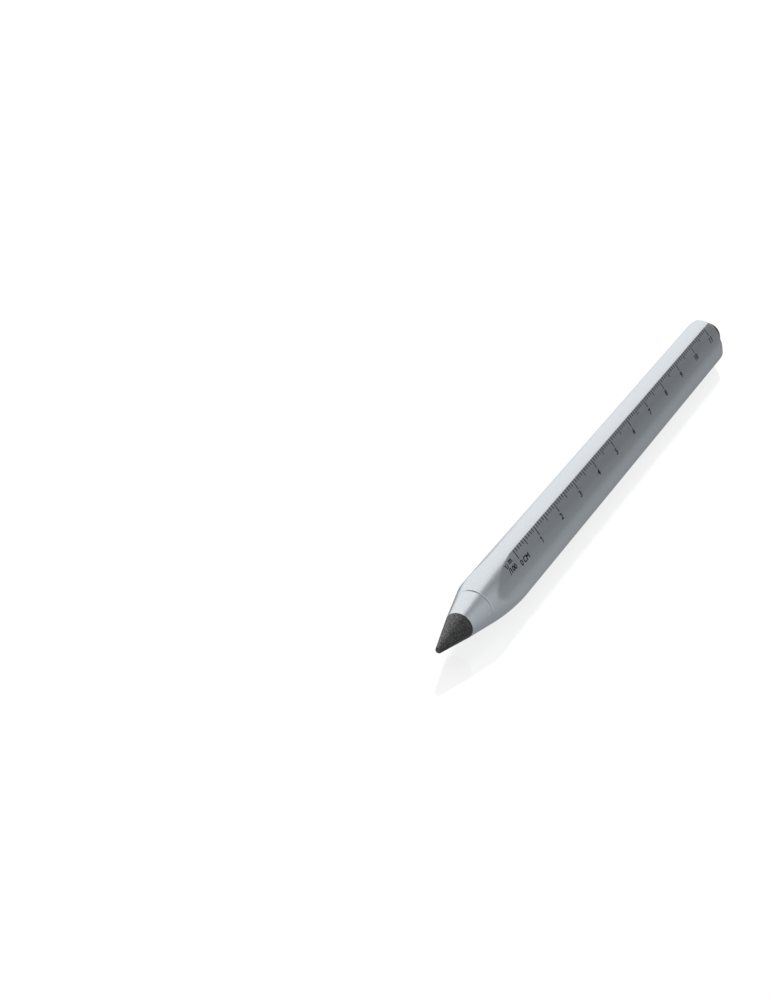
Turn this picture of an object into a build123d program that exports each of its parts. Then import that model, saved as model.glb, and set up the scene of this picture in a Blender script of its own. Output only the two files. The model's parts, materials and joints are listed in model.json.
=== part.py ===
"""Inkless metal pencil: soft-triangle aluminium barrel, screw-in writing nose and screw-in touch stylus.

Millimetres. The pencil lies on one of its three faces: +X runs from the writing tip to the stylus,
+Z is up, and the origin is under the middle of the pencil, on the surface that it lies on.
"""
import os
from math import asin, atan, cos, radians, sin

from build123d import *

# Writing tip: a blunt cone of graphite alloy on a stem
tip_length = 9.1
tip_end_radius = 0.6
tip_end_round = 0.25
tip_base_radius = 2.86
stem_radius = 1.6
stem_length = 4.6
stem_chamfer = 0.3

# Nose and barrel, along the axis
nose_length = 6.2
nose_rear_radius = 4.2
barrel_length = 128.85
cone_lead = 2.1
crest_rise = 0.03
seam_gap = 0.08
seam_break = 0.12
rim_break = 0.7

# Barrel section: three crowned faces between three ridges that lie on one circle
corner_radius = 6.0
ridge_width = 3.1
face_apothem = 4.85
land_width = 1.0
front_wall = 0.7

# Screw joints, the same at both ends
bush_wall = 0.65
bush_length = 7.0
bush_chamfer = 0.2
thread_pitch = 0.75
thread_turns = 8
spigot_chamfer = 0.35
neck_depth = 0.12
ring_section = 0.66
ring_room = 0.07
ring_break = 0.16

# Touch stylus
collar_seat = 0.3
collar_length = 2.5
collar_break = 0.25
pocket_wall = 0.9
pocket_depth = 1.7
dome_step = 0.2
dome_height = 3.5
dome_wall = 0.75
post_pin_radius = 0.8
post_pin_length = 3.0
post_head_length = 0.9
post_chamfer = 0.15

# Fits
glue_gap = 0.02
running_gap = 0.05

# Stations along the axis, counted from the tip's end
nose_front = tip_length
parting = nose_front + nose_length
barrel_front = parting + seam_gap
rear = parting + barrel_length
collar_front = rear + seam_gap
collar_rear = collar_front + collar_length
overall_length = collar_rear + glue_gap + dome_height
axis_height = face_apothem

# The three faces look down and up to both sides, a third of a turn apart
face_directions = (-90, 30, 150)
face_spacing = 120


def station(distance):
    """X of a point that lies the given distance behind the tip's end."""
    return distance - overall_length / 2


# The turned taper is a straight cone from the tip's base. Behind the parting line an arc takes over,
# tangent to the cone, and levels off just above the ridges, so that it runs out into them without an edge
nose_slope = (nose_rear_radius - tip_base_radius) / nose_length
crest_radius = corner_radius + crest_rise
taper_end = parting + (crest_radius - nose_rear_radius) / nose_slope
blend_start = parting + cone_lead
run_out = taper_end + (taper_end - blend_start) / cos(atan(nose_slope))


def turned_radius(distance):
    """Radius of the straight taper at a distance behind the tip's end."""
    return nose_rear_radius + nose_slope * (distance - parting)


def turned_point(distance):
    """Profile point of the straight taper at a distance behind the tip's end."""
    return (station(distance), turned_radius(distance))


bore_radius = nose_rear_radius - front_wall
bush_radius = bore_radius - glue_gap
thread_radius = bush_radius - bush_wall
spigot_radius = thread_radius - running_gap
neck_radius = spigot_radius - neck_depth
ring_space = ring_section + 2 * ring_room
ring_mean_radius = (neck_radius + bore_radius) / 2
thread_length = thread_pitch * thread_turns
spigot_length = ring_space + thread_length
socket_radius = stem_radius + glue_gap
socket_depth = stem_length + glue_gap
collar_radius = bore_radius + collar_seat
pocket_radius = collar_radius - pocket_wall
skirt_radius = pocket_radius - glue_gap
dome_radius = collar_radius - dome_step
cavity_radius = skirt_radius - dome_wall
cavity_height = dome_height - dome_wall
pocket_floor = collar_rear - pocket_depth
dome_base = collar_rear + glue_gap
head_radius = cavity_radius - glue_gap
pin_hole_radius = post_pin_radius + glue_gap

# Creases: where a face meets a ridge, on the ridges' circle
ridge_half_angle = asin(ridge_width / 2 / corner_radius)
crease_angle = radians(face_spacing / 2) - ridge_half_angle
face_half_width = corner_radius * sin(crease_angle)
crease_apothem = corner_radius * cos(crease_angle)

# Turned pieces are drawn above the axis, on the upright plane through it
pencil_axis = Axis((0, 0, axis_height), (1, 0, 0))
axis_plane = Plane(origin=(0, 0, axis_height), x_dir=(1, 0, 0), z_dir=(0, -1, 0))


def section_plane(distance):
    """Plane across the axis, looking from tip to stylus, with +Y to its right and +Z up."""
    return Plane(origin=(station(distance), 0, axis_height), x_dir=(0, 1, 0), z_dir=(1, 0, 0))


def section_point(direction, across, out):
    """Point of the section, out from the axis in a direction in degrees, then across to the left of it."""
    turn = radians(direction)
    return (out * cos(turn) - across * sin(turn), out * sin(turn) + across * cos(turn))


# Barrel: an extruded soft triangle, turned at the front, edge-broken at the rear and bored through
with BuildPart() as barrel:
    with BuildSketch(section_plane(barrel_front)):
        with BuildLine():
            for direction in face_directions:
                land_start = section_point(direction, -land_width / 2, face_apothem)
                land_end = section_point(direction, land_width / 2, face_apothem)
                crease_start = section_point(direction, -face_half_width, crease_apothem)
                crease_end = section_point(direction, face_half_width, crease_apothem)
                ridge_top = section_point(direction + face_spacing / 2, 0, corner_radius)
                next_crease = section_point(direction + face_spacing, -face_half_width, crease_apothem)
                Line(land_start, land_end)
                TangentArc(land_start, crease_start, tangent=section_point(direction, -1, 0))
                TangentArc(land_end, crease_end, tangent=section_point(direction, 1, 0))
                ThreePointArc(crease_end, ridge_top, next_crease)
        make_face()
    extrude(amount=rear - barrel_front)
    with BuildSketch(axis_plane):
        with BuildLine():
            front_edge = (station(barrel_front), turned_radius(barrel_front) - seam_break)
            turned_start = turned_point(barrel_front + seam_break)
            cone_end = turned_point(blend_start)
            crest = (station(run_out), crest_radius)
            clear_radius = corner_radius + rim_break
            Polyline((station(barrel_front), 0), front_edge, turned_start, cone_end)
            TangentArc(cone_end, crest, tangent=(1, nose_slope))
            Polyline(
                crest,
                (station(run_out + nose_length), clear_radius),
                (station(rear - 2 * rim_break), clear_radius),
                (station(rear), corner_radius - rim_break),
                (station(rear), 0),
                (station(barrel_front), 0),
            )
        make_face()
    revolve(axis=pencil_axis, mode=Mode.INTERSECT)
    with BuildSketch(section_plane(barrel_front)):
        Circle(bore_radius)
    extrude(amount=rear - barrel_front, mode=Mode.SUBTRACT)

# Nose: a straight cone on the taper, with the tip's socket in front and the threaded spigot behind
with BuildPart() as nose_cone:
    with BuildSketch(axis_plane):
        with BuildLine():
            spigot_end = parting + spigot_length
            Polyline(
                turned_point(nose_front),
                turned_point(parting - seam_break),
                (station(parting), nose_rear_radius - seam_break),
                (station(parting), neck_radius),
                (station(parting + ring_space), neck_radius),
                (station(parting + ring_space), spigot_radius),
                (station(spigot_end - spigot_chamfer), spigot_radius),
                (station(spigot_end), spigot_radius - spigot_chamfer),
                (station(spigot_end), 0),
                (station(nose_front + socket_depth), 0),
                (station(nose_front + socket_depth), socket_radius),
                (station(nose_front), socket_radius),
                close=True,
            )
        make_face()
    revolve(axis=pencil_axis)

# Writing tip: blunt cone and the stem that is bonded into the nose
with BuildPart() as writing_tip:
    with BuildSketch(axis_plane):
        with BuildLine():
            Polyline(
                (station(0), 0),
                (station(0), tip_end_radius),
                (station(tip_length), tip_base_radius),
                (station(tip_length), stem_radius),
                (station(tip_length + stem_length - stem_chamfer), stem_radius),
                (station(tip_length + stem_length), stem_radius - stem_chamfer),
                (station(tip_length + stem_length), 0),
                close=True,
            )
        make_face()
    revolve(axis=pencil_axis)
    fillet(writing_tip.edges().group_by(Axis.X)[0], tip_end_round)


def bush(front):
    """Threaded bush bonded in the bore, from a distance behind the tip's end."""
    with BuildPart() as piece:
        with BuildSketch(axis_plane):
            with BuildLine():
                Polyline(
                    (station(front), thread_radius + bush_chamfer),
                    (station(front), bush_radius - bush_chamfer),
                    (station(front + bush_chamfer), bush_radius),
                    (station(front + bush_length - bush_chamfer), bush_radius),
                    (station(front + bush_length), bush_radius - bush_chamfer),
                    (station(front + bush_length), thread_radius + bush_chamfer),
                    (station(front + bush_length - bush_chamfer), thread_radius),
                    (station(front + bush_chamfer), thread_radius),
                    close=True,
                )
            make_face()
        revolve(axis=pencil_axis)
    return piece


def locking_ring(middle):
    """Square-cut rubber ring round a spigot's neck, its middle at a distance behind the tip's end."""
    with BuildPart() as piece:
        with BuildSketch(axis_plane):
            with Locations((station(middle), ring_mean_radius)):
                section = Rectangle(ring_section, ring_section)
            chamfer(section.vertices(), ring_break)
        revolve(axis=pencil_axis)
    return piece


front_bush = bush(parting + ring_space)
rear_bush = bush(collar_front - ring_space - bush_length)
nose_ring = locking_ring(parting + ring_space / 2)
stylus_ring = locking_ring(collar_front - ring_space / 2)

# Stylus collar: the threaded spigot in front, the collar behind, with a pocket for the dome's skirt
with BuildPart() as stylus_collar:
    with BuildSketch(axis_plane):
        with BuildLine():
            spigot_front = collar_front - spigot_length
            Polyline(
                (station(spigot_front), 0),
                (station(spigot_front), spigot_radius - spigot_chamfer),
                (station(spigot_front + spigot_chamfer), spigot_radius),
                (station(collar_front - ring_space), spigot_radius),
                (station(collar_front - ring_space), neck_radius),
                (station(collar_front), neck_radius),
                (station(collar_front), collar_radius - seam_break),
                (station(collar_front + seam_break), collar_radius),
                (station(collar_rear - collar_break), collar_radius),
                (station(collar_rear), collar_radius - collar_break),
                (station(collar_rear), pocket_radius),
                (station(pocket_floor), pocket_radius),
                (station(pocket_floor), pin_hole_radius),
                (station(pocket_floor - post_pin_length - glue_gap), pin_hole_radius),
                (station(pocket_floor - post_pin_length - glue_gap), 0),
                close=True,
            )
        make_face()
    revolve(axis=pencil_axis)

# Stylus dome: a hollow rubber cap with a tapered core, whose skirt sits in the collar's pocket
with BuildPart() as stylus_dome:
    with BuildSketch(axis_plane):
        with BuildLine():
            base_x = station(dome_base)
            skirt_x = station(pocket_floor + glue_gap)
            dome_top = (base_x + dome_height, 0)
            TangentArc(dome_top, (base_x, dome_radius), tangent=(0, 1))
            Polyline(
                (base_x, dome_radius),
                (base_x, skirt_radius),
                (skirt_x, skirt_radius),
                (skirt_x, cavity_radius),
                (base_x, cavity_radius),
                (base_x + cavity_height, cavity_radius / 2),
                (base_x + cavity_height, 0),
                dome_top,
            )
        make_face()
    revolve(axis=pencil_axis)

# Dome post: the headed pin in the collar that keeps the dome's skirt spread in its pocket
with BuildPart() as dome_post:
    with BuildSketch(axis_plane):
        with BuildLine():
            head_x = pocket_floor + glue_gap
            Polyline(
                (station(pocket_floor - post_pin_length), 0),
                (station(pocket_floor - post_pin_length), post_pin_radius - post_chamfer),
                (station(pocket_floor - post_pin_length + post_chamfer), post_pin_radius),
                (station(head_x), post_pin_radius),
                (station(head_x), head_radius),
                (station(head_x + post_head_length - post_chamfer), head_radius),
                (station(head_x + post_head_length), head_radius - post_chamfer),
                (station(head_x + post_head_length), 0),
                close=True,
            )
        make_face()
    revolve(axis=pencil_axis)

pieces = {
    "barrel": barrel,
    "front_bush": front_bush,
    "rear_bush": rear_bush,
    "nose_cone": nose_cone,
    "writing_tip": writing_tip,
    "nose_ring": nose_ring,
    "stylus_collar": stylus_collar,
    "stylus_dome": stylus_dome,
    "dome_post": dome_post,
    "stylus_ring": stylus_ring,
}
os.makedirs("parts", exist_ok=True)
for name, piece in pieces.items():
    piece.part.label = name
    export_step(piece.part, f"parts/{name}.step")
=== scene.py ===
"""Looks of the inkless metal pencil: satin aluminium, granular graphite tip, rubber stylus, printed rules.

Metres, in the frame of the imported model: the pencil lies along X, with its writing tip at the low end.
"""

import json
from math import asin, atan, ceil, cos, pi, radians, sin, sqrt, tan, tau

import bmesh
import bpy
from mathutils import Matrix, Vector
from mathutils.bvhtree import BVHTree


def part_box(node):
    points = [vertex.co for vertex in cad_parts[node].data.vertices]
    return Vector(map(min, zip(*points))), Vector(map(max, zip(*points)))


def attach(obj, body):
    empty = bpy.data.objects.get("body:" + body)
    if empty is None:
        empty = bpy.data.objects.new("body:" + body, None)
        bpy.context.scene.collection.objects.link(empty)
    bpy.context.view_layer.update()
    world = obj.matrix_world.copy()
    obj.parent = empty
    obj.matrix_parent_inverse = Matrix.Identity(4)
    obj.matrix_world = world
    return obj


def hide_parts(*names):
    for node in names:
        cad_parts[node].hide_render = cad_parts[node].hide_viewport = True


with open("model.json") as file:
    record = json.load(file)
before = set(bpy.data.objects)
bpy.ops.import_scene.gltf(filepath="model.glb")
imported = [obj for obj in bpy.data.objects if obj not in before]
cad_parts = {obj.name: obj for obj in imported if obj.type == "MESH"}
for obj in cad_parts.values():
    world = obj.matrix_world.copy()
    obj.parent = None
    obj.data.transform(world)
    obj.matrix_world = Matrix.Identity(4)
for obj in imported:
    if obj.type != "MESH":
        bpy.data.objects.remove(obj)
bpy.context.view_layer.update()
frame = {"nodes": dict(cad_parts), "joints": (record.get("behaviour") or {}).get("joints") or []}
scene = bpy.context.scene
nodes = frame["nodes"]
joints = {joint["name"]: joint for joint in frame["joints"]}
mm = 0.001

# Camera, fitted to the rule's ticks and the outlines in the photograph
camera_eye = Vector((-0.356525, -0.13125, 0.22343))
camera_heading = radians(26.84)
camera_down = radians(30.96)
camera_roll = radians(0.49)
camera_clip = 10 * mm
focal_pixels = 2050
image_height = 1000
sensor_mm = 36

# Fits of the screw joints and the stylus, as built
seam_gap = 0.08 * mm
seam_break = 0.12 * mm
glue_gap = 0.02 * mm
bush_wall = 0.65 * mm
running_gap = 0.05 * mm
neck_depth = 0.12 * mm
stem_radius = 1.6 * mm
stem_length = 4.6 * mm
pocket_wall = 0.9 * mm
pocket_depth = 1.7 * mm
pin_radius = 0.8 * mm
pin_length = 3.0 * mm
dome_wall = 0.75 * mm

# Barrel's section, taper and rim, as built
crease_across = 4.245 * mm
land_half = 0.5 * mm
cone_lead = 2.1 * mm
crest_rise = 0.03 * mm
rim_break = 0.7 * mm
face_directions = (-90, 30, 150)
face_spacing = 120

# Fine edges that are drawn softer or finer than the solids have them
front_break = 0.075 * mm
tongue_soft = 0.2 * mm
crease_soft = 0.08 * mm
rim_soft = 0.4 * mm
collar_edge = 0.24 * mm
dome_lip = 0.2 * mm
ring_round_share = 0.55

# Threads
thread_pitch = 0.75 * mm
thread_depth = 0.33 * mm
thread_crest = 0.12 * mm
thread_root = 0.5 * mm
thread_fade = 0.6

# Fineness of the meshes
turned_sides = 128
thread_sides = 48
dome_steps = 24
ring_corner_steps = 4
crown_steps = 10
crease_steps = 6
crease_zone = radians(1.6)
ridge_steps = 8
taper_steps = 14
straight_length = 20 * mm
body_steps = 6
rim_steps = 12
sharp_angle = radians(32)
barrel_sharp_angle = radians(18)

# Printed rules: the ticks hang from the crease where a face meets a ridge
cm_face = 150
inch_face = 30
rule_zero = 29.69 * mm
centimetres = 11
ticks_per_cm = 10
inches = 4
ticks_per_inch = 16
inch = 25.4 * mm
tick_width = 0.23 * mm
tick_start = -0.05 * mm
long_tick = 2.06 * mm
middle_tick = 1.4 * mm
quarter_tick = 1.15 * mm
short_tick = 0.8 * mm
number_top = 2.44 * mm
number_bottom = 3.82 * mm
number_shift = -0.1 * mm
unit_top = 2.42 * mm
unit_bottom = 3.68 * mm
zero_middle = 0.2 * mm
cm_middle = 2.3 * mm
cm_width = 2.5 * mm
inch_middle = 3.1 * mm

# Fraction of a metre, printed before the centimetre rule's zero
one_middle = -4.86 * mm
one_top = 0.8 * mm
one_bottom = 1.7 * mm
slash_top = (-4.08 * mm, 0.82 * mm)
slash_bottom = (-4.8 * mm, 3.11 * mm)
hundred_middle = -2.94 * mm
hundred_top = 1.88 * mm
hundred_bottom = 3.05 * mm
hundred_width = 2.35 * mm
metre_middle = -2.8 * mm
metre_top = 0.62 * mm
metre_bottom = 1.42 * mm
metre_width = 1.25 * mm

# Ink and figures
ink_height = 0.012 * mm
ink_depth = 0.03 * mm
ink_step = 0.12 * mm
letter_boldness = 0.03
figure_boldness = 0.025
figure_stretch = 1.1
figure_curve_steps = 4
figure_weld = 1e-5
least_corner = 0.5
one_stroke = 0.25 * mm
one_flag_share = 0.2

# Range that most of a noise lies in
noise_low = 0.3
noise_high = 0.7

# Floor
floor_size = 6.0
floor_drop = 0.02 * mm
floor_grey = (0.2, 0.2, 0.2)
floor_ior = 1.78
floor_glow = 0.77

# Glowing cards that only the metal's reflections see, as painted reflections: a sweep under and beside the
# pencil, and a round one high in front
flag_colour = (0.965, 1.0, 1.03)
flag_near = 150 * mm
flag_far = -60 * mm
flag_lift = 0.1 * mm
flag_curve = 5 * mm
flag_curve_steps = 12
flag_fade = 450 * mm
flag_top = 900 * mm
flag_half = 0.6
flag_upright_stops = ((-35 * mm, 0.66), (-12 * mm, 0.31), (20 * mm, 0.235), (90 * mm, 0.212))
flag_floor_stops = ((-60 * mm, 0.415), (0, 0.375))
flag_rise_stops = ((10 * mm, 0.8), (60 * mm, 1))
# Painted shadow of the pencil: the sweep's floor part grows darker near the pencil
flag_shade_stops = ((-20 * mm, 1), (-3 * mm, 0.75))
flag_beyond_stops = ((-40 * mm, 0.3), (0, 0.85))
flag_across_stops = ((0, 0), (8 * mm, 1))
flag_front_stops = ((-85 * mm, 1), (-75 * mm, 0))
flag_end_stops = ((-350 * mm, 1), (-150 * mm, 0), (250 * mm, 0), (550 * mm, 1))
front_direction = (-0.495, 0.387, 0.746)
front_distance = 300 * mm
front_half = 190 * mm
front_solid = 110 * mm
front_level = 0.08

# Light
white = (1, 1, 1, 1)
ambient_level = 0.6
key_direction = (0.35, 0.6, 1.0)
key_distance = 1.2
key_size = 1.5
key_power = 7.5
tip_light_direction = (0.87, 0.378, 0.317)
tip_light_distance = 0.5
tip_light_size = 0.2
tip_light_power = 20

# Places along the axis and radii, read from the frame
axis_z = joints["nose_turn"]["pos_m"][2]
tip_low, tip_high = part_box("writing_tip")
nose_low, nose_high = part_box("nose_cone")
barrel_low, barrel_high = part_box("barrel")
collar_low, collar_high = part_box("stylus_collar")
dome_low, dome_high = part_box("stylus_dome")
parting_x = barrel_low.x - seam_gap
collar_front = barrel_high.x + seam_gap
bush_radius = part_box("front_bush")[1].z - axis_z
bore_radius = bush_radius + glue_gap
thread_bore = bush_radius - bush_wall
spigot_radius = thread_bore - running_gap
core_radius = spigot_radius - thread_depth
neck_radius = spigot_radius - neck_depth
tip_radius = tip_high.z - axis_z
nose_radius = nose_high.z - axis_z
collar_radius = collar_high.z - axis_z
pocket_radius = collar_radius - pocket_wall
corner_radius = barrel_high.z - axis_z
apothem = axis_z - barrel_low.z

# The section's crowned faces, and the turned taper: a cone, then an arc that levels off at the ridges
crease_angle = asin(crease_across / corner_radius)
land_angle = atan(land_half / apothem)
crown_drop = apothem - corner_radius * cos(crease_angle)
crown_radius = ((crease_across - land_half) ** 2 + crown_drop**2) / (2 * crown_drop)
nose_slope = (nose_radius - tip_radius) / (parting_x - seam_break - nose_low.x)
cone_angle = atan(nose_slope)
rear_radius = tip_radius + nose_slope * (parting_x - nose_low.x)
crest_radius = corner_radius + crest_rise
taper_end = parting_x + (crest_radius - rear_radius) / nose_slope
blend_start = parting_x + cone_lead
blend_length = (taper_end - blend_start) / cos(cone_angle)
blend_radius = blend_length / tan(cone_angle / 2)
run_out = taper_end + blend_length


def new_material(name, values):
    """Material whose Principled shader has the given values."""
    material = bpy.data.materials.new(name)
    material.use_nodes = True
    shader = material.node_tree.nodes["Principled BSDF"]
    for key, value in values.items():
        shader.inputs[key].default_value = value
    return material, shader


def noise(tree, size, detail, stretch=(1, 1, 1)):
    """Noise output whose grains have a size in metres, longer along the stretched axes."""
    place = tree.nodes.new("ShaderNodeTexCoord")
    mapping = tree.nodes.new("ShaderNodeMapping")
    mapping.inputs["Scale"].default_value = [1 / s for s in stretch]
    texture = tree.nodes.new("ShaderNodeTexNoise")
    texture.inputs["Scale"].default_value = 1 / size
    texture.inputs["Detail"].default_value = detail
    tree.links.new(place.outputs["Object"], mapping.inputs["Vector"])
    tree.links.new(mapping.outputs["Vector"], texture.inputs["Vector"])
    return texture.outputs["Fac"]


def spread(tree, factor, low, high):
    """Output of a noise factor, spread from a low to a high value."""
    node = tree.nodes.new("ShaderNodeMapRange")
    node.inputs["From Min"].default_value = noise_low
    node.inputs["From Max"].default_value = noise_high
    node.inputs["To Min"].default_value = low
    node.inputs["To Max"].default_value = high
    tree.links.new(factor, node.inputs["Value"])
    return node.outputs["Result"]


def colour_ramp(tree, factor, stops, interpolation="LINEAR"):
    """Colour output that runs through (factor, colour) stops."""
    node = tree.nodes.new("ShaderNodeValToRGB")
    node.color_ramp.interpolation = interpolation
    elements = node.color_ramp.elements
    while len(elements) < len(stops):
        elements.new(0.5)
    for element, (position, colour) in zip(elements, stops):
        element.position = position
        element.color = (*colour, 1)
    tree.links.new(factor, node.inputs["Fac"])
    return node.outputs["Color"]


def bump(tree, factor, strength, height):
    """Normal output of a noise factor, with its height in metres."""
    node = tree.nodes.new("ShaderNodeBump")
    node.inputs["Strength"].default_value = strength
    node.inputs["Distance"].default_value = height
    tree.links.new(factor, node.inputs["Height"])
    return node.outputs["Normal"]


def grained(name, values, tone, colours, roughness, grain=None, bump_strength=0, bump_height=0):
    """Material with one noise for its tone, and one for its roughness and bump, which may be the same."""
    material, shader = new_material(name, values)
    tree = material.node_tree
    tone_noise = noise(tree, **tone)
    grain_noise = noise(tree, **grain) if grain else tone_noise
    tree.links.new(colour_ramp(tree, tone_noise, colours), shader.inputs["Base Color"])
    tree.links.new(spread(tree, grain_noise, *roughness), shader.inputs["Roughness"])
    if bump_strength:
        tree.links.new(bump(tree, grain_noise, bump_strength, bump_height), shader.inputs["Normal"])
    return material


def rubber(name):
    """Black silicone rubber with a faint moulded skin."""
    return grained(
        name,
        {"Specular IOR Level": 0.4},
        tone={"size": 0.3 * mm, "detail": 3},
        colours=((noise_low, (0.012, 0.012, 0.013)), (noise_high, (0.02, 0.02, 0.021))),
        roughness=(0.4, 0.52),
        bump_strength=0.1,
        bump_height=0.02 * mm,
    )


def dress(node, material):
    """Gives a CAD node its material."""
    slots = nodes[node].data.materials
    slots.clear()
    slots.append(material)


def add_piece(name, mesh, material):
    """Object in the scene, from a mesh and its material."""
    mesh.materials.append(material)
    piece = bpy.data.objects.new(name, mesh)
    scene.collection.objects.link(piece)
    return piece


def finish_mesh(bm, name, material, angle=sharp_angle):
    """Object made from a bmesh, smooth except at edges sharper than an angle."""
    bmesh.ops.recalc_face_normals(bm, faces=bm.faces)
    mesh = bpy.data.meshes.new(name)
    bm.to_mesh(mesh)
    bm.free()
    mesh.shade_smooth()
    mesh.set_sharp_from_angle(angle=angle)
    return add_piece(name, mesh, material)


def steps(first, last, count):
    """Even steps from a first to before a last value."""
    return [first + (last - first) * i / count for i in range(count)]


def ring_point(x, radius, angle):
    """Point at a radius and an angle round the pencil's axis."""
    return Vector((x, radius * cos(angle), axis_z + radius * sin(angle)))


def join_loops(bm, first, second):
    """Faces between two closed loops of as many points."""
    for i in range(len(first)):
        k = (i + 1) % len(first)
        bm.faces.new((first[i], first[k], second[k], second[i]))


def lathe(bm, profile, closed=False):
    """Turns a profile of (x, radius) points round the axis; a radius of 0 is a pole."""
    rings = []
    for x, radius in profile:
        if radius == 0:
            rings.append([bm.verts.new((x, 0, axis_z))])
        else:
            angles = steps(0, tau, turned_sides)
            rings.append([bm.verts.new(ring_point(x, radius, angle)) for angle in angles])
    pairs = list(zip(rings, rings[1:]))
    if closed:
        pairs.append((rings[-1], rings[0]))
    for first, second in pairs:
        for i in range(turned_sides):
            k = (i + 1) % turned_sides
            turns = ((first, i), (first, k), (second, k), (second, i))
            corners = [ring[turn % len(ring)] for ring, turn in turns]
            bm.faces.new(list(dict.fromkeys(corners)))


def thread(bm, start, end, root, crest, reference, lag):
    """Right-hand helical ridge from a root to a crest radius, faded at both ends.

    The lag is how far its turn is behind a thread that starts at the reference.
    """
    count = ceil((end - start) / thread_pitch * thread_sides)
    outward = 1 if crest > root else -1
    sunk = root - outward * running_gap
    sections = []
    for i in range(count + 1):
        x = start + (end - start) * i / count
        angle = tau * (x - reference) / thread_pitch + lag
        share = min(1, i / thread_sides / thread_fade, (count - i) / thread_sides / thread_fade)
        top = sunk + (crest - sunk) * share
        outline = (
            (-thread_root / 2, sunk),
            (-thread_crest / 2, top),
            (thread_crest / 2, top),
            (thread_root / 2, sunk),
        )
        sections.append([bm.verts.new(ring_point(x + shift, radius, angle)) for shift, radius in outline])
    for first, second in zip(sections, sections[1:]):
        join_loops(bm, first, second)
    bm.faces.new(sections[0])
    bm.faces.new(sections[-1])


def nose_piece():
    """Turned nose with the tip's socket in front and the threaded spigot behind."""
    socket_radius = stem_radius + glue_gap
    socket_end = nose_low.x + stem_length + glue_gap
    ring_low, ring_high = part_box("nose_ring")
    ring_end = ring_low.x + ring_high.x - parting_x
    profile = (
        (socket_end, 0),
        (socket_end, socket_radius),
        (nose_low.x, socket_radius),
        (nose_low.x, tip_radius),
        (parting_x - seam_break, nose_radius),
        (parting_x, nose_radius - seam_break),
        (parting_x, neck_radius),
        (ring_end, neck_radius),
        (ring_end, core_radius),
        (nose_high.x, core_radius),
        (nose_high.x, 0),
    )
    bm = bmesh.new()
    lathe(bm, profile)
    thread(bm, ring_end, nose_high.x - thread_root / 2, core_radius, spigot_radius, parting_x, 0)
    piece = finish_mesh(bm, "nose_body", aluminium_look)
    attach(piece, "nose")
    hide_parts("nose_cone")


def stylus_piece():
    """Stylus collar with the threaded spigot in front and the dome's pocket behind."""
    pocket_floor = collar_high.x - pocket_depth
    hole_radius = pin_radius + glue_gap
    hole_end = pocket_floor - pin_length - glue_gap
    ring_low, ring_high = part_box("stylus_ring")
    ring_end = ring_low.x + ring_high.x - collar_front
    profile = (
        (collar_low.x, 0),
        (collar_low.x, core_radius),
        (ring_end, core_radius),
        (ring_end, neck_radius),
        (collar_front, neck_radius),
        (collar_front, collar_radius - seam_break),
        (collar_front + seam_break, collar_radius),
        (collar_high.x - collar_edge, collar_radius),
        (collar_high.x, collar_radius - collar_edge),
        (collar_high.x, pocket_radius),
        (pocket_floor, pocket_radius),
        (pocket_floor, hole_radius),
        (hole_end, hole_radius),
        (hole_end, 0),
    )
    bm = bmesh.new()
    lathe(bm, profile)
    thread(bm, collar_low.x + thread_root / 2, ring_end, core_radius, spigot_radius, collar_front, 0)
    piece = finish_mesh(bm, "stylus_body", aluminium_look)
    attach(piece, "stylus")
    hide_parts("stylus_collar")


def dome_piece():
    """Hollow rubber dome, round to the collar, with its skirt in the pocket."""
    dome_radius = dome_high.z - axis_z
    base_x = collar_high.x + glue_gap
    height = dome_high.x - base_x
    ball_radius = (dome_radius**2 + height**2) / (2 * height)
    ball_x = dome_high.x - ball_radius
    skirt_radius = pocket_radius - glue_gap
    cavity_radius = skirt_radius - dome_wall
    cavity_end = dome_high.x - dome_wall
    lip_angle = pi / 2 + (ball_x - base_x - dome_lip) / ball_radius
    angles = [*steps(0, lip_angle, dome_steps)[1:], lip_angle]
    outside = [(ball_x + ball_radius * cos(a), ball_radius * sin(a)) for a in angles]
    inside = (
        (base_x, dome_radius - dome_lip),
        (base_x, skirt_radius),
        (dome_low.x, skirt_radius),
        (dome_low.x, cavity_radius),
        (base_x, cavity_radius),
        (cavity_end, cavity_radius / 2),
        (cavity_end, 0),
    )
    bm = bmesh.new()
    lathe(bm, ((dome_high.x, 0), *outside, *inside))
    piece = finish_mesh(bm, "stylus_cap", dome_look)
    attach(piece, "stylus")
    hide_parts("stylus_dome")


def ring_piece(node):
    """Rubber locking ring with well-rounded corners, in its square-cut room."""
    low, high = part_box(node)
    middle_x = (low.x + high.x) / 2
    half = (high.x - low.x) / 2
    middle_radius = high.z - axis_z - half
    corner = ring_round_share * half
    flat = half - corner
    profile = []
    for quarter, (side_x, side_r) in enumerate(((1, 1), (-1, 1), (-1, -1), (1, -1))):
        for step in range(ring_corner_steps + 1):
            angle = pi / 2 * (quarter + step / ring_corner_steps)
            x = middle_x + flat * side_x + corner * cos(angle)
            profile.append((x, middle_radius + flat * side_r + corner * sin(angle)))
    bm = bmesh.new()
    lathe(bm, profile, closed=True)
    piece = finish_mesh(bm, node + "_rubber", ring_look)
    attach(piece, node)
    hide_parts(node)


def bush_thread(node, reference):
    """Internal thread of a bush, half a turn behind the spigot's own."""
    low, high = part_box(node)
    inset = thread_root / 2
    bm = bmesh.new()
    thread(bm, low.x + inset, high.x - inset, thread_bore, thread_bore - thread_depth, reference, pi)
    piece = finish_mesh(bm, node + "_thread", brass_look)
    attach(piece, "barrel")


def soft_min(first, second, width):
    """Smaller of two lengths, rounded where they differ by less than a width."""
    if width <= 0:
        return min(first, second)
    share = max(width - abs(first - second), 0) / width
    return min(first, second) - share**2 * width / 4


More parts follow.
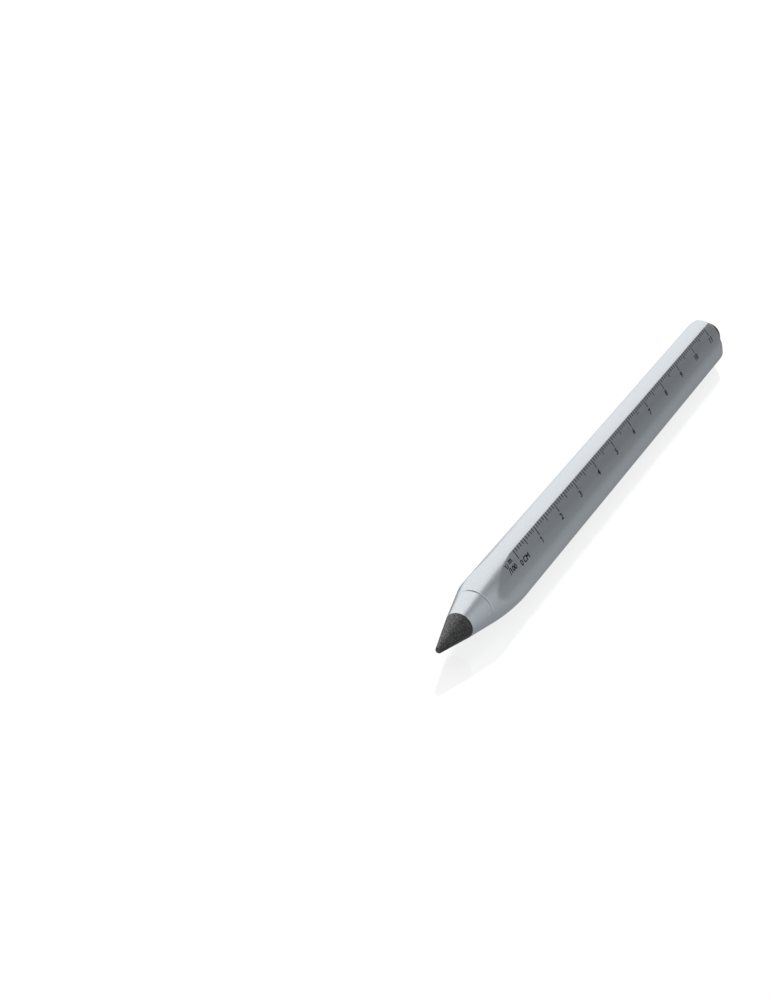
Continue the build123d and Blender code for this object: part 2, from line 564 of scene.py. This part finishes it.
def section_radius(offset):
    """Radius of the barrel's section at an angle off the middle of a face, with a rounded crease."""
    if offset <= land_angle:
        return apothem / cos(offset)
    rise = apothem - crown_radius
    reach = land_half * sin(offset) + rise * cos(offset)
    crown = reach + sqrt(reach**2 - land_half**2 - rise**2 + crown_radius**2)
    return soft_min(crown, corner_radius, crease_soft)


def turned_radius(x):
    """Radius of the turned taper, which keeps clear of the ridges behind its run-out."""
    if x < blend_start:
        return rear_radius + nose_slope * (x - parting_x)
    if x < run_out:
        return crest_radius - blend_radius + sqrt(blend_radius**2 - (run_out - x) ** 2)
    return crest_radius + nose_slope * (x - run_out)


def barrel_line(section):
    """Outside of the barrel along one angle, as (x, radius) points.

    One of the points is where the taper meets the section, whose radius is given.
    """
    front_x = barrel_low.x + front_break
    edge_x = run_out - sqrt(blend_radius**2 - (section - crest_radius + blend_radius) ** 2)
    straight_x = parting_x + straight_length
    rim_x = barrel_high.x - 2 * rim_break
    shares = steps(0, 1, taper_steps)
    places = [front_x + (edge_x - front_x) * (1 - (1 - s) ** 2) for s in shares]
    places += [edge_x + (straight_x - edge_x) * s**2 for s in shares]
    places += steps(straight_x, rim_x, body_steps)
    places += steps(rim_x, barrel_high.x, rim_steps)
    places.append(barrel_high.x)
    softness = tongue_soft * (corner_radius - section) / (corner_radius - apothem)
    line = [(barrel_low.x, turned_radius(barrel_low.x) - front_break)]
    for x in places:
        radius = soft_min(section, turned_radius(x), softness)
        rim_radius = corner_radius - rim_break + barrel_high.x - x
        line.append((x, soft_min(radius, rim_radius, rim_soft)))
    return line


def barrel_piece():
    """Barrel whose turned taper runs out softly into the faces, bored through; gives its mesh."""
    crown_end = crease_angle - crease_zone
    ridge_start = crease_angle + crease_zone
    ridge_end = radians(face_spacing) - ridge_start
    half_face = steps(land_angle, crown_end, crown_steps)
    half_face += steps(crown_end, ridge_start, crease_steps)
    half_face.append(ridge_start)
    ridge = steps(ridge_start, ridge_end, ridge_steps)[1:]
    offsets = [-offset for offset in reversed(half_face)] + [0] + half_face + ridge
    bm = bmesh.new()
    lines = []
    for direction in face_directions:
        for offset in offsets:
            line = barrel_line(section_radius(abs(offset)))
            line += [(barrel_high.x, bore_radius), (barrel_low.x, bore_radius)]
            angle = radians(direction) + offset
            lines.append([bm.verts.new(ring_point(x, radius, angle)) for x, radius in line])
    for first, second in zip(lines, lines[1:] + lines[:1]):
        join_loops(bm, first, second)
    piece = finish_mesh(bm, "barrel_shell", aluminium_look, barrel_sharp_angle)
    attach(piece, "barrel")
    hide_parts("barrel")
    return piece.data


def face_place(direction):
    """Gives the function from a place on a rule to the point on the barrel's face.

    The place is how far along from the rule's zero it is, and how far down from the crease.
    """
    out = Vector((0, cos(direction), sin(direction)))
    down_side = Vector((0, -sin(direction), cos(direction)))
    clear = (barrel_high.z - barrel_low.z) * out

    def place(along, down):
        x = tip_low.x + rule_zero + along
        foot = Vector((x, 0, axis_z)) + (down - crease_across) * down_side
        hit = barrel_tree.ray_cast(foot + clear, -out)[0]
        return hit + ink_height * out

    return place


def print_bar(bm, place, start, end, width):
    """Bar of ink between two places of a rule, cut short enough to follow the face."""
    run = Vector((end[0] - start[0], end[1] - start[1]))
    count = ceil(run.length / ink_step)
    side = Vector((-run.y, run.x)).normalized() * (width / 2)
    rows = []
    for i in range(count + 1):
        middle = Vector(start) + run * i / count
        ends = (middle + side, middle - side)
        rows.append([bm.verts.new(place(p.x, p.y)) for p in ends])
    for first, second in zip(rows, rows[1:]):
        bm.faces.new((first[1], first[0], second[0], second[1]))


def embolden(glyphs, amount):
    """Moves the outline of flat glyphs outward, in font units."""
    moves = {}
    for v in glyphs.verts:
        total = Vector((0, 0, 0))
        for edge in v.link_edges:
            if edge.is_boundary:
                run = edge.other_vert(v).co - v.co
                side = Vector((-run.y, run.x, 0)).normalized()
                inward = edge.link_faces[0].calc_center_median() - v.co
                total += side if side.dot(inward) < 0 else -side
        moves[v] = total * amount / max(total.length_squared / 2, least_corner)
    for v, move in moves.items():
        v.co += move


def print_text(bm, place, text, middle, top, bottom, width=None, boldness=letter_boldness):
    """Figures or letters of ink between two lines of the rule, centred on a place along it."""
    curve = bpy.data.curves.new("print", "FONT")
    curve.body = text
    curve.resolution_u = figure_curve_steps
    curve.fill_mode = "FRONT"
    holder = bpy.data.objects.new("print", curve)
    glyphs = bmesh.new()
    glyphs.from_mesh(bpy.data.meshes.new_from_object(holder))
    bpy.data.objects.remove(holder)
    bmesh.ops.remove_doubles(glyphs, verts=glyphs.verts, dist=figure_weld)
    embolden(glyphs, boldness)
    low_x, high_x = (pick(v.co.x for v in glyphs.verts) for pick in (min, max))
    low_y, high_y = (pick(v.co.y for v in glyphs.verts) for pick in (min, max))
    scale = (bottom - top) / (high_y - low_y)
    along_scale = width / (high_x - low_x) if width else scale * figure_stretch
    rows = ceil((bottom - top) / ink_step)
    for i in range(1, rows):
        level = Vector((0, low_y + (high_y - low_y) * i / rows, 0))
        everything = [*glyphs.verts, *glyphs.edges, *glyphs.faces]
        bmesh.ops.bisect_plane(glyphs, geom=everything, plane_co=level, plane_no=(0, 1, 0))
    printed = {}
    for v in glyphs.verts:
        along = middle + (v.co.x - (low_x + high_x) / 2) * along_scale
        printed[v] = bm.verts.new(place(along, bottom - (v.co.y - low_y) * scale))
    for face in glyphs.faces:
        bm.faces.new([printed[v] for v in face.verts])
    glyphs.free()


def print_one(bm, place, middle, top, bottom):
    """Figure one, with its flag."""
    edge = middle - one_stroke / 2
    flag = (bottom - top) * one_flag_share
    print_bar(bm, place, (middle, top), (middle, bottom), one_stroke)
    print_bar(bm, place, (edge, top + one_stroke / 2), (edge - flag, top + flag), one_stroke)


def print_ticks(bm, place, count, spacing, lengths):
    """Ticks of a rule, each as long as the first step in lengths that divides its number."""
    for i in range(count + 1):
        length = next(length for step, length in lengths if i % step == 0)
        print_bar(bm, place, (i * spacing, tick_start), (i * spacing, length), tick_width)


def print_numbers(bm, place, last, spacing):
    """Numbers of a rule from one to a last, each under its tick."""
    print_one(bm, place, spacing, number_top, number_bottom)
    for number in range(2, last + 1):
        middle = number * spacing + number_shift
        print_text(bm, place, str(number), middle, number_top, number_bottom, boldness=figure_boldness)


def ink_piece(bm, name):
    """Thin closed film of ink that lies on the barrel."""
    mesh = bpy.data.meshes.new(name)
    bm.to_mesh(mesh)
    bm.free()
    piece = add_piece(name, mesh, ink_look)
    film = piece.modifiers.new("film", "SOLIDIFY")
    film.thickness = ink_depth
    film.offset = -1
    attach(piece, "barrel")


def centimetre_rule():
    """Rule in millimetres to eleven centimetres, with its unit and the fraction of a metre before it."""
    place = face_place(radians(cm_face))
    bm = bmesh.new()
    lengths = ((ticks_per_cm, long_tick), (ticks_per_cm // 2, middle_tick), (1, short_tick))
    print_ticks(bm, place, centimetres * ticks_per_cm, mm, lengths)
    print_numbers(bm, place, centimetres, ticks_per_cm * mm)
    print_text(bm, place, "0", zero_middle, unit_top, unit_bottom)
    print_text(bm, place, "CM", cm_middle, unit_top, unit_bottom, cm_width)
    print_one(bm, place, one_middle, one_top, one_bottom)
    print_bar(bm, place, slash_top, slash_bottom, tick_width)
    print_text(bm, place, "100", hundred_middle, hundred_top, hundred_bottom, hundred_width)
    print_text(bm, place, "m", metre_middle, metre_top, metre_bottom, metre_width)
    ink_piece(bm, "cm_scale")


def inch_rule():
    """Rule in sixteenths to four inches, on the next face round."""
    place = face_place(radians(inch_face))
    bm = bmesh.new()
    lengths = (
        (ticks_per_inch, long_tick),
        (ticks_per_inch // 2, middle_tick),
        (ticks_per_inch // 4, quarter_tick),
        (1, short_tick),
    )
    print_ticks(bm, place, inches * ticks_per_inch, inch / ticks_per_inch, lengths)
    print_numbers(bm, place, inches, inch)
    print_text(bm, place, "0", zero_middle, unit_top, unit_bottom)
    print_text(bm, place, "INCH", inch_middle, unit_top, unit_bottom)
    ink_piece(bm, "inch_scale")


def stage_piece(name, corners, faces, material):
    """Piece of the stage from its corners and faces."""
    mesh = bpy.data.meshes.new(name)
    mesh.from_pydata(corners, [], faces)
    piece = add_piece(name, mesh, material)
    return piece


def combine(tree, operation, first, second):
    """Output of a Math node that joins two outputs."""
    node = tree.nodes.new("ShaderNodeMath")
    node.operation = operation
    tree.links.new(first, node.inputs[0])
    tree.links.new(second, node.inputs[1])
    return node.outputs["Value"]


def blend(tree, factor, first, second):
    """Output that runs from a first to a second output with a factor."""
    node = tree.nodes.new("ShaderNodeMix")
    node.data_type = "FLOAT"
    tree.links.new(factor, node.inputs["Factor"])
    tree.links.new(first, node.inputs["A"])
    tree.links.new(second, node.inputs["B"])
    return node.outputs["Result"]


def ramp_along(tree, axis, stops):
    """Colour output that runs through (place in metres, grey) stops along an axis of the scene."""
    first = stops[0][0]
    last = stops[-1][0]
    place = tree.nodes.new("ShaderNodeTexCoord")
    split = tree.nodes.new("ShaderNodeSeparateXYZ")
    tree.links.new(place.outputs["Object"], split.inputs["Vector"])
    scaled = tree.nodes.new("ShaderNodeMapRange")
    scaled.inputs["From Min"].default_value = first
    scaled.inputs["From Max"].default_value = last
    tree.links.new(split.outputs[axis], scaled.inputs["Value"])
    shares = [((spot - first) / (last - first), (grey, grey, grey)) for spot, grey in stops]
    return colour_ramp(tree, scaled.outputs["Result"], shares, "EASE")


def seen_ray(tree):
    """Output that is 1 for rays from the camera, from reflections and through glass, and 0 for all else."""
    path = tree.nodes.new("ShaderNodeLightPath")
    mirrored = combine(tree, "MAXIMUM", path.outputs["Is Camera Ray"], path.outputs["Is Glossy Ray"])
    return combine(tree, "MAXIMUM", mirrored, path.outputs["Is Transmission Ray"])


def white_floor():
    """White glossy table top, which mirrors the pencil faintly."""
    values = {
        "Base Color": (*floor_grey, 1),
        "Roughness": 0,
        "IOR": floor_ior,
        "Emission Color": white,
    }
    material, shader = new_material("white_floor", values)
    tree = material.node_tree
    glow = tree.nodes.new("ShaderNodeMath")
    glow.operation = "MULTIPLY"
    glow.inputs[1].default_value = floor_glow
    tree.links.new(seen_ray(tree), glow.inputs[0])
    tree.links.new(glow.outputs["Value"], shader.inputs["Emission Strength"])
    half = floor_size / 2
    corners = [(x, y, -floor_drop) for x, y in ((-half, -half), (half, -half), (half, half), (-half, half))]
    stage_piece("floor", corners, [range(4)], material)


def card_material(name):
    """Grey glow that is clear from behind and in the floor's mirror.

    Gives the material, its tree, and the sockets for how bright and how hidden it is.
    """
    material = bpy.data.materials.new(name)
    material.use_nodes = True
    tree = material.node_tree
    tree.nodes.remove(tree.nodes["Principled BSDF"])
    grey = tree.nodes.new("ShaderNodeEmission")
    grey.inputs["Color"].default_value = (*flag_colour, 1)
    clear = tree.nodes.new("ShaderNodeBsdfTransparent")
    side = tree.nodes.new("ShaderNodeNewGeometry")
    hidden = tree.nodes.new("ShaderNodeMath")
    hidden.operation = "MAXIMUM"
    tree.links.new(side.outputs["Backfacing"], hidden.inputs[0])
    path = tree.nodes.new("ShaderNodeLightPath")
    passed = combine(tree, "MAXIMUM", hidden.outputs["Value"], path.outputs["Is Singular Ray"])
    mix = tree.nodes.new("ShaderNodeMixShader")
    tree.links.new(passed, mix.inputs["Fac"])
    tree.links.new(grey.outputs["Emission"], mix.inputs[1])
    tree.links.new(clear.outputs["BSDF"], mix.inputs[2])
    tree.links.new(mix.outputs["Shader"], tree.nodes["Material Output"].inputs["Surface"])
    return material, tree, grey.inputs["Strength"], hidden.inputs[1]


def reflection_card(name, corners, faces, material):
    """Card of the stage that only reflections see."""
    card = stage_piece(name, corners, faces, material)
    card.visible_camera = False
    card.visible_diffuse = False
    card.visible_shadow = False
    card.visible_transmission = False


def side_flag():
    """Glowing grey sweep under the pencil and up beside the rule's face, seen only in reflections: painted
    reflections for the metal.
    """
    material, tree, level, hiding = card_material("side_flag")
    low = ramp_along(tree, "Z", ((0, 1), (flag_curve, 0)))
    rise = ramp_along(tree, "Z", flag_rise_stops)
    upright = combine(tree, "MULTIPLY", ramp_along(tree, "X", flag_upright_stops), rise)
    # Painted shadow: the floor part of the sweep darkens towards the pencil
    shade = ramp_along(tree, "Y", flag_shade_stops)
    ground = combine(tree, "MULTIPLY", ramp_along(tree, "X", flag_floor_stops), shade)
    near = blend(tree, low, upright, ground)
    beyond = ramp_along(tree, "X", flag_beyond_stops)
    tree.links.new(blend(tree, ramp_along(tree, "Y", flag_across_stops), near, beyond), level)
    front = combine(tree, "MULTIPLY", ramp_along(tree, "X", flag_front_stops), low)
    top = ramp_along(tree, "Z", ((flag_fade, 0), (flag_top, 1)))
    ends = combine(tree, "MAXIMUM", top, ramp_along(tree, "X", flag_end_stops))
    tree.links.new(combine(tree, "MAXIMUM", front, ends), hiding)
    bend = [*steps(0, pi / 2, flag_curve_steps), pi / 2]
    sweep = [(flag_near, flag_lift)]
    sweep += [(flag_far + flag_curve * (1 - sin(a)), flag_lift + flag_curve * (1 - cos(a))) for a in bend]
    sweep.append((flag_far, flag_top))
    corners = [(x, y, z) for y, z in sweep for x in (flag_half, -flag_half)]
    faces = [(2 * i, 2 * i + 1, 2 * i + 3, 2 * i + 2) for i in range(len(sweep) - 1)]
    reflection_card("side_flag", corners, faces, material)


def front_flag():
    """Dark round card with a soft edge, high in front, which the edges of the parting line mirror."""
    material, tree, level, hiding = card_material("front_flag")
    level.default_value = front_level
    toward = Vector(front_direction).normalized()
    side = toward.cross(Vector((0, 0, 1))).normalized() * front_half
    rise = side.cross(toward)
    middle = Vector((parting_x, 0, axis_z)) + toward * front_distance
    corners = [middle + side * i + rise * k for i, k in ((-1, -1), (1, -1), (1, 1), (-1, 1))]
    place = tree.nodes.new("ShaderNodeTexCoord")
    reach = tree.nodes.new("ShaderNodeVectorMath")
    reach.operation = "DISTANCE"
    reach.inputs[1].default_value = middle
    tree.links.new(place.outputs["Object"], reach.inputs[0])
    fade = tree.nodes.new("ShaderNodeMapRange")
    fade.interpolation_type = "SMOOTHSTEP"
    fade.inputs["From Min"].default_value = front_solid
    fade.inputs["From Max"].default_value = front_half
    tree.links.new(reach.outputs["Value"], fade.inputs["Value"])
    tree.links.new(fade.outputs["Result"], hiding)
    reflection_card("front_flag", corners, [range(4)], material)


def studio_world():
    """White surroundings for the camera and reflections, and a grey level of light for all else."""
    world = bpy.data.worlds.new("studio")
    world.use_nodes = True
    scene.world = world
    tree = world.node_tree
    soft = tree.nodes["Background"]
    soft.inputs["Color"].default_value = white
    soft.inputs["Strength"].default_value = ambient_level
    bright = tree.nodes.new("ShaderNodeBackground")
    bright.inputs["Color"].default_value = white
    bright.inputs["Strength"].default_value = 1
    mix = tree.nodes.new("ShaderNodeMixShader")
    tree.links.new(seen_ray(tree), mix.inputs["Fac"])
    tree.links.new(soft.outputs["Background"], mix.inputs[1])
    tree.links.new(bright.outputs["Background"], mix.inputs[2])
    tree.links.new(mix.outputs["Shader"], tree.nodes["World Output"].inputs["Surface"])


def soft_box(name, target, direction, distance, size, power):
    """Square area lamp that looks at a target from a direction."""
    lamp = bpy.data.lights.new(name, "AREA")
    lamp.shape = "SQUARE"
    lamp.size = size
    lamp.energy = power
    holder = bpy.data.objects.new(name, lamp)
    scene.collection.objects.link(holder)
    toward = Vector(direction).normalized()
    holder.location = Vector(target) + toward * distance
    holder.rotation_euler = toward.to_track_quat("Z", "Y").to_euler()
    holder.visible_glossy = False
    return holder


def studio_lamps():
    """Large soft key, and a small lamp behind that picks out the grain of the matte tip alone."""
    soft_box("key", (0, 0, 0), key_direction, key_distance, key_size, key_power)
    tip_middle = (tip_low + tip_high) / 2
    lamp = soft_box(
        "tip_light",
        tip_middle,
        tip_light_direction,
        tip_light_distance,
        tip_light_size,
        tip_light_power,
    )
    lit = bpy.data.collections.new("tip_light")
    lit.objects.link(nodes["writing_tip"])
    lamp.light_linking.receiver_collection = lit


def photo_camera():
    """Camera at the photograph's place, heading, tilt and roll."""
    level = cos(camera_down)
    forward = Vector((cos(camera_heading) * level, sin(camera_heading) * level, -sin(camera_down)))
    side = forward.cross(Vector((0, 0, 1))).normalized()
    right = side * cos(camera_roll) + side.cross(forward) * sin(camera_roll)
    up = right.cross(forward)
    turn = Matrix((right, up, -forward)).transposed().to_4x4()
    lens = bpy.data.cameras.new("camera")
    lens.sensor_width = sensor_mm
    lens.lens = focal_pixels * sensor_mm / image_height
    lens.clip_start = camera_clip
    holder = bpy.data.objects.new("camera", lens)
    scene.collection.objects.link(holder)
    holder.matrix_world = Matrix.Translation(camera_eye) @ turn
    scene.camera = holder


# Natural anodised aluminium: fine blasted grain under a satin sheen
aluminium_look = grained(
    "satin_aluminium",
    {"Metallic": 1.0},
    tone={"size": 0.24 * mm, "detail": 3},
    colours=((noise_low, (0.688, 0.725, 0.755)), (noise_high, (0.767, 0.806, 0.84))),
    grain={"size": 0.14 * mm, "detail": 3},
    roughness=(0.31, 0.37),
    bump_strength=0.12,
    bump_height=0.01 * mm,
)

# Granular graphite alloy: dark grey with lighter flakes
graphite_look = grained(
    "graphite",
    {"Metallic": 0.67, "Specular IOR Level": 0.06},
    tone={"size": 0.28 * mm, "detail": 5},
    colours=((0.38, (0.05, 0.05, 0.05)), (0.55, (0.086, 0.086, 0.086)), (0.7, (0.152, 0.152, 0.152))),
    grain={"size": 0.22 * mm, "detail": 4},
    roughness=(0.32, 0.44),
    bump_strength=0.2,
    bump_height=0.03 * mm,
)

# Brass with fine turning marks round the axis
brass_look = grained(
    "turned_brass",
    {"Metallic": 1.0},
    tone={"size": 0.06 * mm, "detail": 2, "stretch": (1, 60, 60)},
    colours=((noise_low, (0.72, 0.53, 0.25)), (noise_high, (0.82, 0.64, 0.34))),
    roughness=(0.22, 0.36),
    bump_strength=0.2,
    bump_height=0.01 * mm,
)

# Moulded dark plastic of the hidden post
plastic_look = grained(
    "dark_plastic",
    {},
    tone={"size": 0.4 * mm, "detail": 2},
    colours=((noise_low, (0.05, 0.05, 0.053)), (noise_high, (0.08, 0.08, 0.085))),
    roughness=(0.45, 0.6),
)

# Screen-printed ink, slightly uneven
ink_look = grained(
    "black_ink",
    {"Specular IOR Level": 0.15},
    tone={"size": 0.25 * mm, "detail": 2},
    colours=((noise_low, (0.004, 0.004, 0.005)), (noise_high, (0.009, 0.009, 0.01))),
    roughness=(0.5, 0.65),
)

ring_look = rubber("ring_rubber")
dome_look = rubber("dome_rubber")

# The solids that stay, and the pieces that replace the others or lie on them
dress("writing_tip", graphite_look)
dress("front_bush", brass_look)
dress("rear_bush", brass_look)
dress("dome_post", plastic_look)
nose_piece()
stylus_piece()
dome_piece()
ring_piece("nose_ring")
ring_piece("stylus_ring")
bush_thread("front_bush", parting_x)
bush_thread("rear_bush", collar_front)
barrel_mesh = barrel_piece()
barrel_tree = BVHTree.FromPolygons(
    [v.co for v in barrel_mesh.vertices],
    [p.vertices for p in barrel_mesh.polygons],
)
centimetre_rule()
inch_rule()

# Stage, light and camera
white_floor()
side_flag()
front_flag()
studio_world()
studio_lamps()
photo_camera()
scene.view_settings.view_transform = "Standard"
